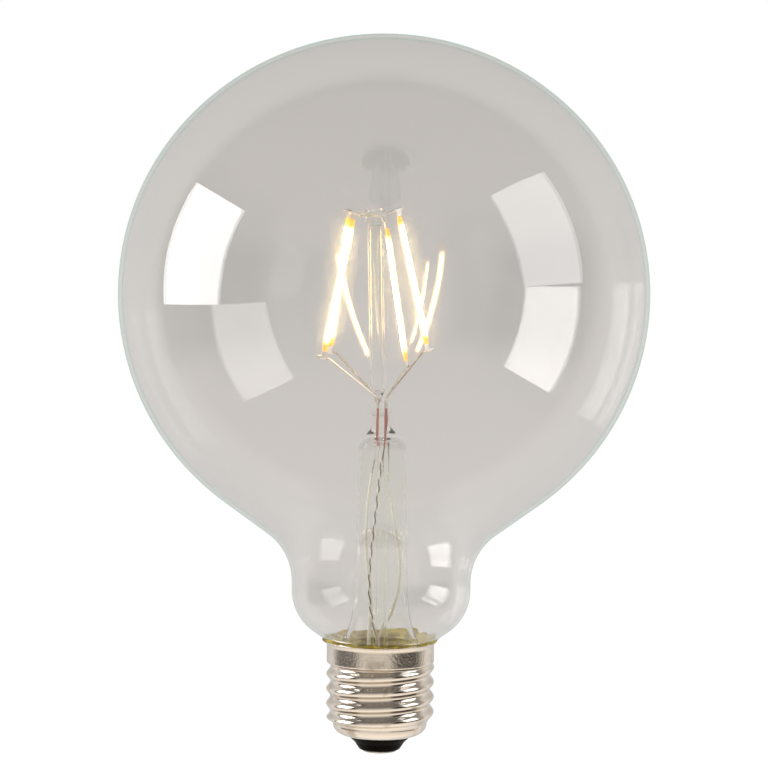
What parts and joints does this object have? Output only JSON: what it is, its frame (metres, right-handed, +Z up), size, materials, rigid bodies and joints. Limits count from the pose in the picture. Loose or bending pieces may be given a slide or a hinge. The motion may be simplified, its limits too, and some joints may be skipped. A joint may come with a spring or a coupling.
{
  "type": "globe bulb",
  "caption": "Clear glass globe lamp with slim glowing filament strips hung from a glass post, on a rolled screw cap with a centre contact.",
  "frame": {"origin": "lowest point of the centre contact, on the lamp's axis", "axes": "+Z up the lamp's axis from the contact to the crown of the globe; -Y is the side that the picture shows"},
  "size_m": [0.127, 0.127, 0.1727],
  "materials": {
    "bulb_glass": "clear blown glass, smooth",
    "stem_glass": "clear drawn glass with melted seams",
    "filament_coat": "warm phosphor silicone coat, lit, with unlit orange ends",
    "tab_metal": "thin plated strip, crimped",
    "nickel_wire": "drawn nickel wire, slightly dull",
    "seal_lead_metal": "copper-clad lead, red where the glass wets it",
    "copper_wire": "darkened copper wire",
    "sleeve_fibre": "pale woven fibre sleeve",
    "cap_metal": "nickel-plated thin brass sheet, bright and lightly scuffed",
    "insulator_black": "moulded black, gloss",
    "contact_metal": "plated contact, dull",
    "cement": "olive-yellow lamp cement, matt",
    "board_laminate": "green glass-fibre laminate",
    "component_black": "moulded black",
    "capacitor_can": "sleeved can",
    "resistor_coat": "blue-grey lacquer"
  },
  "bodies": {
    "root": {"bridge_rectifier": "component_black", "cement_ring": "cement", "centre_contact": "contact_metal", "copper_tail_rear_left": "copper_wire", "copper_tail_rear_right": "copper_wire", "cross_wire_high": "nickel_wire", "cross_wire_low": "nickel_wire", "driver_board": "board_laminate", "driver_chip": "component_black", "exhaust_tube": "stem_glass", "feed_wire_front_left": "nickel_wire", "feed_wire_front_right": "nickel_wire", "feed_wire_rear_left": "nickel_wire", "feed_wire_rear_right": "nickel_wire", "filament_front_left": "filament_coat", "filament_front_right": "filament_coat", "filament_rear_left": "filament_coat", "filament_rear_right": "filament_coat", "fusible_resistor": "resistor_coat", "globe_envelope": "bulb_glass", "insulator": "insulator_black", "lower_tab_front_left": "tab_metal", "lower_tab_front_right": "tab_metal", "lower_tab_rear_left": "tab_metal", "lower_tab_rear_right": "tab_metal", "neutral_lead": "copper_wire", "screw_shell": "cap_metal", "seal_lead_front_left": "seal_lead_metal", "seal_lead_front_right": "seal_lead_metal", "seal_lead_rear_left": "seal_lead_metal", "seal_lead_rear_right": "seal_lead_metal", "smoothing_capacitor": "capacitor_can", "stem_flare": "stem_glass", "support_post": "stem_glass", "tail_sleeve_rear_left": "sleeve_fibre", "tail_sleeve_rear_right": "sleeve_fibre", "twisted_tail_left": "copper_wire", "twisted_tail_right": "copper_wire", "upper_tab_front_left": "tab_metal", "upper_tab_front_right": "tab_metal", "upper_tab_rear_left": "tab_metal", "upper_tab_rear_right": "tab_metal"}
  },
  "joints": []
}
